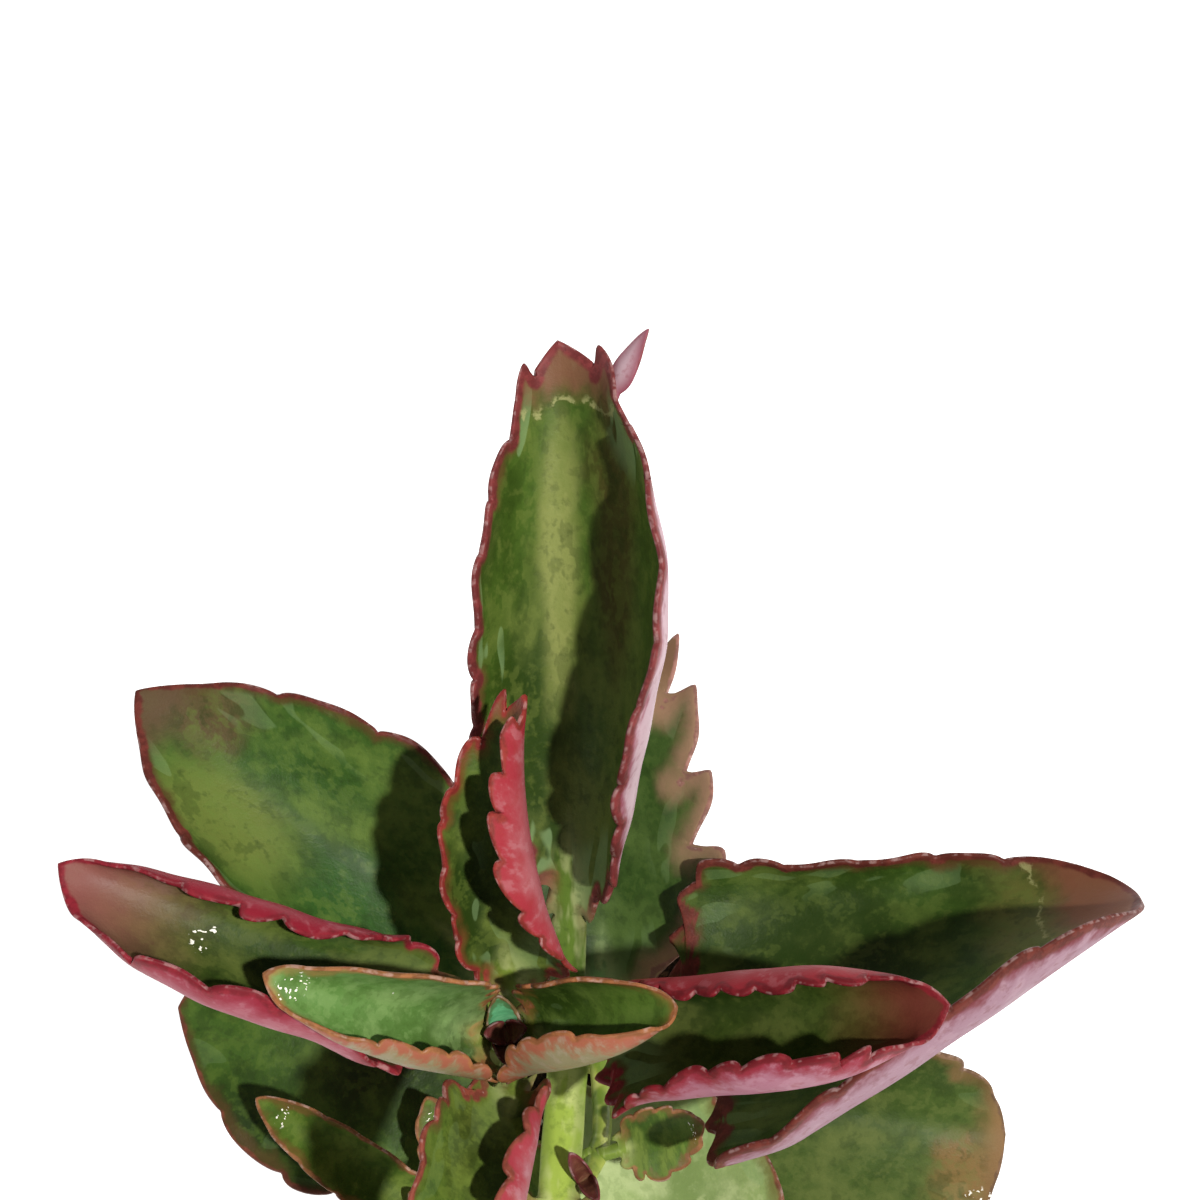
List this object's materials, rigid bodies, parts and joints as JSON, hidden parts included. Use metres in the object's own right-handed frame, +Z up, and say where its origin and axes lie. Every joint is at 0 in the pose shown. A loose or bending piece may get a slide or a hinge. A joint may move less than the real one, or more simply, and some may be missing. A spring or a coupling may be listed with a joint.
{
  "type": "potted kalanchoe paddle plant",
  "caption": "Succulent with a leaning stem, crosswise pairs of fleshy, boat-shaped leaves with scalloped edges and low side shoots, growing in soil in a plain round tapered pot.",
  "frame": {"origin": "middle of the pot's flat underside, at the level of the surface it stands on", "axes": "+Z up along the pot's axis; +X to the right and +Y away from the viewer, so that the leaf pairs point about along X and about along Y in turn"},
  "size_m": [0.197, 0.2272, 0.2394],
  "materials": {
    "leaf": "smooth waxy leaf, green with red-brown scalloped rim",
    "young_leaf": "smooth waxy leaf, light green with pink to salmon rim",
    "stem": "smooth fleshy stem and stalks, yellow-green",
    "soil": "loose dark potting soil",
    "pot": "plain pale glaze"
  },
  "bodies": {
    "root": {"pot": "pot", "soil": "soil", "stem": "stem", "leaf_1_left": "young_leaf", "leaf_1_right": "young_leaf", "leaf_2_back": "young_leaf", "leaf_2_front": "young_leaf", "leaf_3_left": "leaf", "leaf_3_right": "leaf", "leaf_4_back": "leaf", "leaf_4_front": "leaf", "leaf_5_left": "leaf", "leaf_5_right": "leaf", "leaf_6_back": "leaf", "leaf_6_front": "leaf", "leaf_7_left": "leaf", "leaf_7_right": "leaf", "shoot_left": "leaf", "shoot_front": "leaf"}
  },
  "joints": []
}
